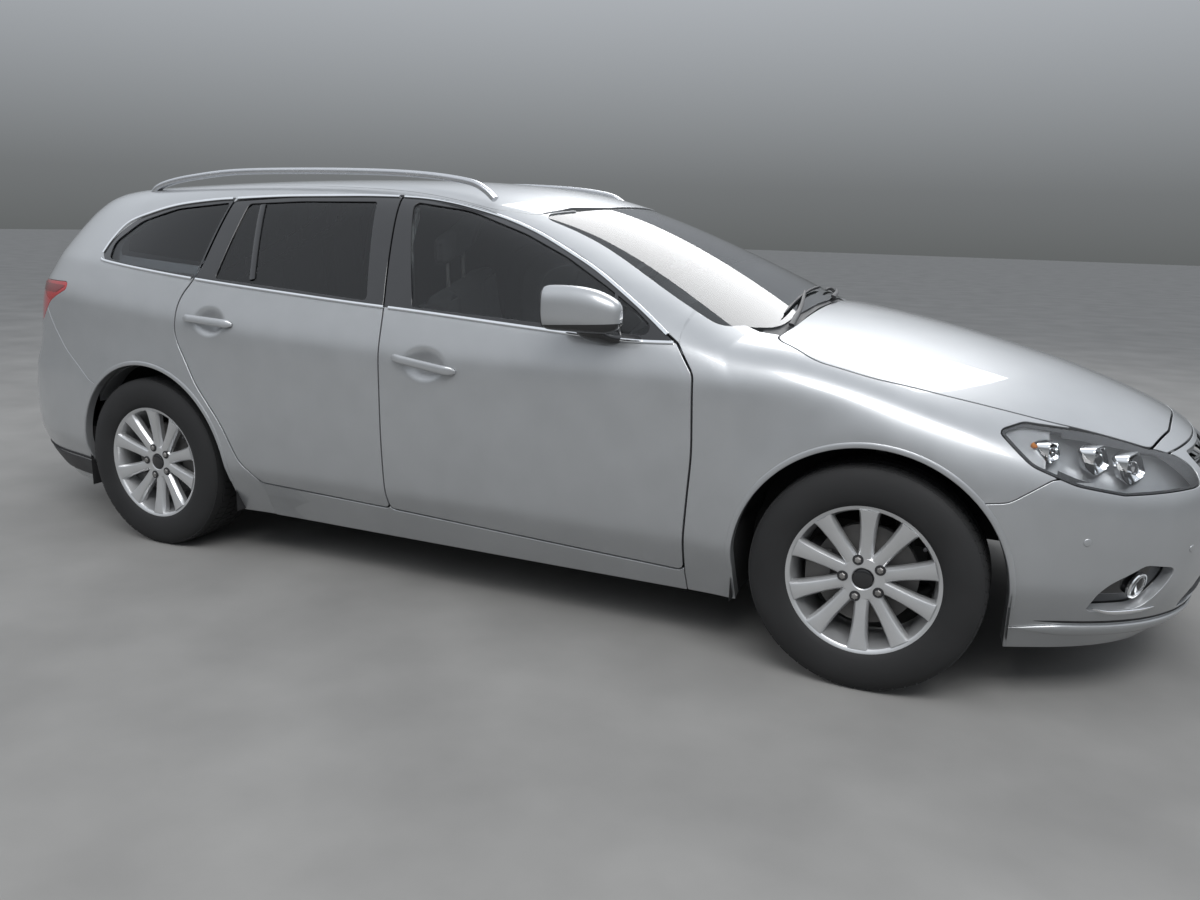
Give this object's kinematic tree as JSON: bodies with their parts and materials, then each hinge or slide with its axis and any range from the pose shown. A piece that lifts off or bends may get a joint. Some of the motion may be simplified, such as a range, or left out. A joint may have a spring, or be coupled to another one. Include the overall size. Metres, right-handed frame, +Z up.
{
  "type": "station wagon",
  "caption": "Long-roofed passenger car with a raked nose, roof rails, hinged doors, bonnet and tailgate, and road wheels that roll and steer.",
  "frame": {"origin": "on the ground under the middle of the wagon's box", "axes": "+X forward along the wagon, +Y to its left, +Z up"},
  "size_m": [4.7964, 2.02, 1.4775],
  "materials": {
    "paint": "metallic",
    "glass": "clear",
    "dark_glass": "tinted",
    "clear_lens": "clear",
    "red_lens": "tinted",
    "tyre": "matte",
    "alloy": "satin",
    "rail": "satin",
    "body_steel": "satin",
    "chassis_steel": "satin",
    "bare_steel": "satin",
    "cast": "rough",
    "black_plastic": "matte",
    "bright_trim": "polished",
    "liner": "matte",
    "cloth": "woven"
  },
  "bodies": {
    "shell": {"side_frames": "body_steel", "wings": "paint", "quarters": "paint", "quarter_glasses": "dark_glass", "headlamps": "clear_lens", "tail_lamps": "red_lens", "roof_rails": "rail", "dampers": "chassis_steel", "drive_shafts": "bare_steel", "wheelhouses": "liner", "bumper_front": "paint", "bumper_rear": "paint", "roof": "paint", "windscreen": "glass", "floor_pan": "chassis_steel", "cowl": "black_plastic", "grilles": "bright_trim", "front_chassis": "chassis_steel", "rear_axle": "cast", "engine_block": "cast", "exhaust": "bare_steel", "fuel_tank": "black_plastic", "seats": "cloth", "dashboard": "black_plastic"},
    "steering_wheel": {"steering_wheel": "black_plastic"},
    "bonnet": {"bonnet": "paint"},
    "tailgate": {"tailgate": "paint", "tailgate_glass": "dark_glass"},
    "door_front_right": {"door_front_right": "paint", "glass_front_right": "glass", "mirror_right": "paint"},
    "door_rear_right": {"door_rear_right": "paint", "glass_rear_right": "dark_glass"},
    "knuckle_right": {"knuckle_right": "cast"},
    "wheel_front_right": {"wheel_front_right": "alloy", "tyre_front_right": "tyre"},
    "wheel_rear_right": {"wheel_rear_right": "alloy", "tyre_rear_right": "tyre"},
    "door_front_left": {"door_front_left": "paint", "glass_front_left": "glass", "mirror_left": "paint"},
    "door_rear_left": {"door_rear_left": "paint", "glass_rear_left": "dark_glass"},
    "knuckle_left": {"knuckle_left": "cast"},
    "wheel_front_left": {"wheel_front_left": "alloy", "tyre_front_left": "tyre"},
    "wheel_rear_left": {"wheel_rear_left": "alloy", "tyre_rear_left": "tyre"}
  },
  "joints": [
    {"name": "door_front_right_hinge", "type": "hinge", "parent": "shell", "child": "door_front_right", "pos_m": [0.842, -0.893, 0.69], "axis": [0, 0, 1], "range_deg": [0, 66]},
    {"name": "door_rear_right_hinge", "type": "hinge", "parent": "shell", "child": "door_rear_right", "pos_m": [-0.262, -0.895, 0.69], "axis": [0, 0, 1], "range_deg": [0, 66]},
    {"name": "door_front_left_hinge", "type": "hinge", "parent": "shell", "child": "door_front_left", "pos_m": [0.842, 0.893, 0.69], "axis": [0, 0, -1], "range_deg": [0, 66]},
    {"name": "door_rear_left_hinge", "type": "hinge", "parent": "shell", "child": "door_rear_left", "pos_m": [-0.262, 0.895, 0.69], "axis": [0, 0, -1], "range_deg": [0, 66]},
    {"name": "tailgate_hinge", "type": "hinge", "parent": "shell", "child": "tailgate", "pos_m": [-2.092, 0, 1.368], "axis": [0, 1, 0], "range_deg": [0, 80]},
    {"name": "bonnet_hinge", "type": "hinge", "parent": "shell", "child": "bonnet", "pos_m": [1.124, 0, 1.054], "axis": [0, -1, 0], "range_deg": [0, 50]},
    {"name": "steer_right", "type": "hinge", "parent": "shell", "child": "knuckle_right", "pos_m": [1.44, -0.745, 0.205], "axis": [-0.0304, 0.1824, 0.9828], "range_deg": [-33, 33]},
    {"name": "steer_left", "type": "hinge", "parent": "shell", "child": "knuckle_left", "pos_m": [1.44, 0.745, 0.205], "axis": [-0.0304, -0.1824, 0.9828], "range_deg": [-33, 33]},
    {"name": "steering_wheel_turn", "type": "hinge", "parent": "shell", "child": "steering_wheel", "pos_m": [0.455, -0.37, 0.905], "axis": [-0.9135, 0, 0.4067], "range_deg": [-495, 495]},
    {"name": "wheel_front_right_spin", "type": "hinge", "parent": "knuckle_right", "child": "wheel_front_right", "pos_m": [1.435, -0.795, 0.335], "axis": [0, 1, 0], "continuous": true},
    {"name": "wheel_rear_right_spin", "type": "hinge", "parent": "shell", "child": "wheel_rear_right", "pos_m": [-1.315, -0.795, 0.335], "axis": [0, 1, 0], "continuous": true},
    {"name": "wheel_front_left_spin", "type": "hinge", "parent": "knuckle_left", "child": "wheel_front_left", "pos_m": [1.435, 0.795, 0.335], "axis": [0, 1, 0], "continuous": true},
    {"name": "wheel_rear_left_spin", "type": "hinge", "parent": "shell", "child": "wheel_rear_left", "pos_m": [-1.315, 0.795, 0.335], "axis": [0, 1, 0], "continuous": true}
  ],
  "couplings": [
    {"joint": "steer_left", "follows": "steer_right", "ratio": 1},
    {"joint": "steering_wheel_turn", "follows": "steer_right", "ratio": 15}
  ]
}
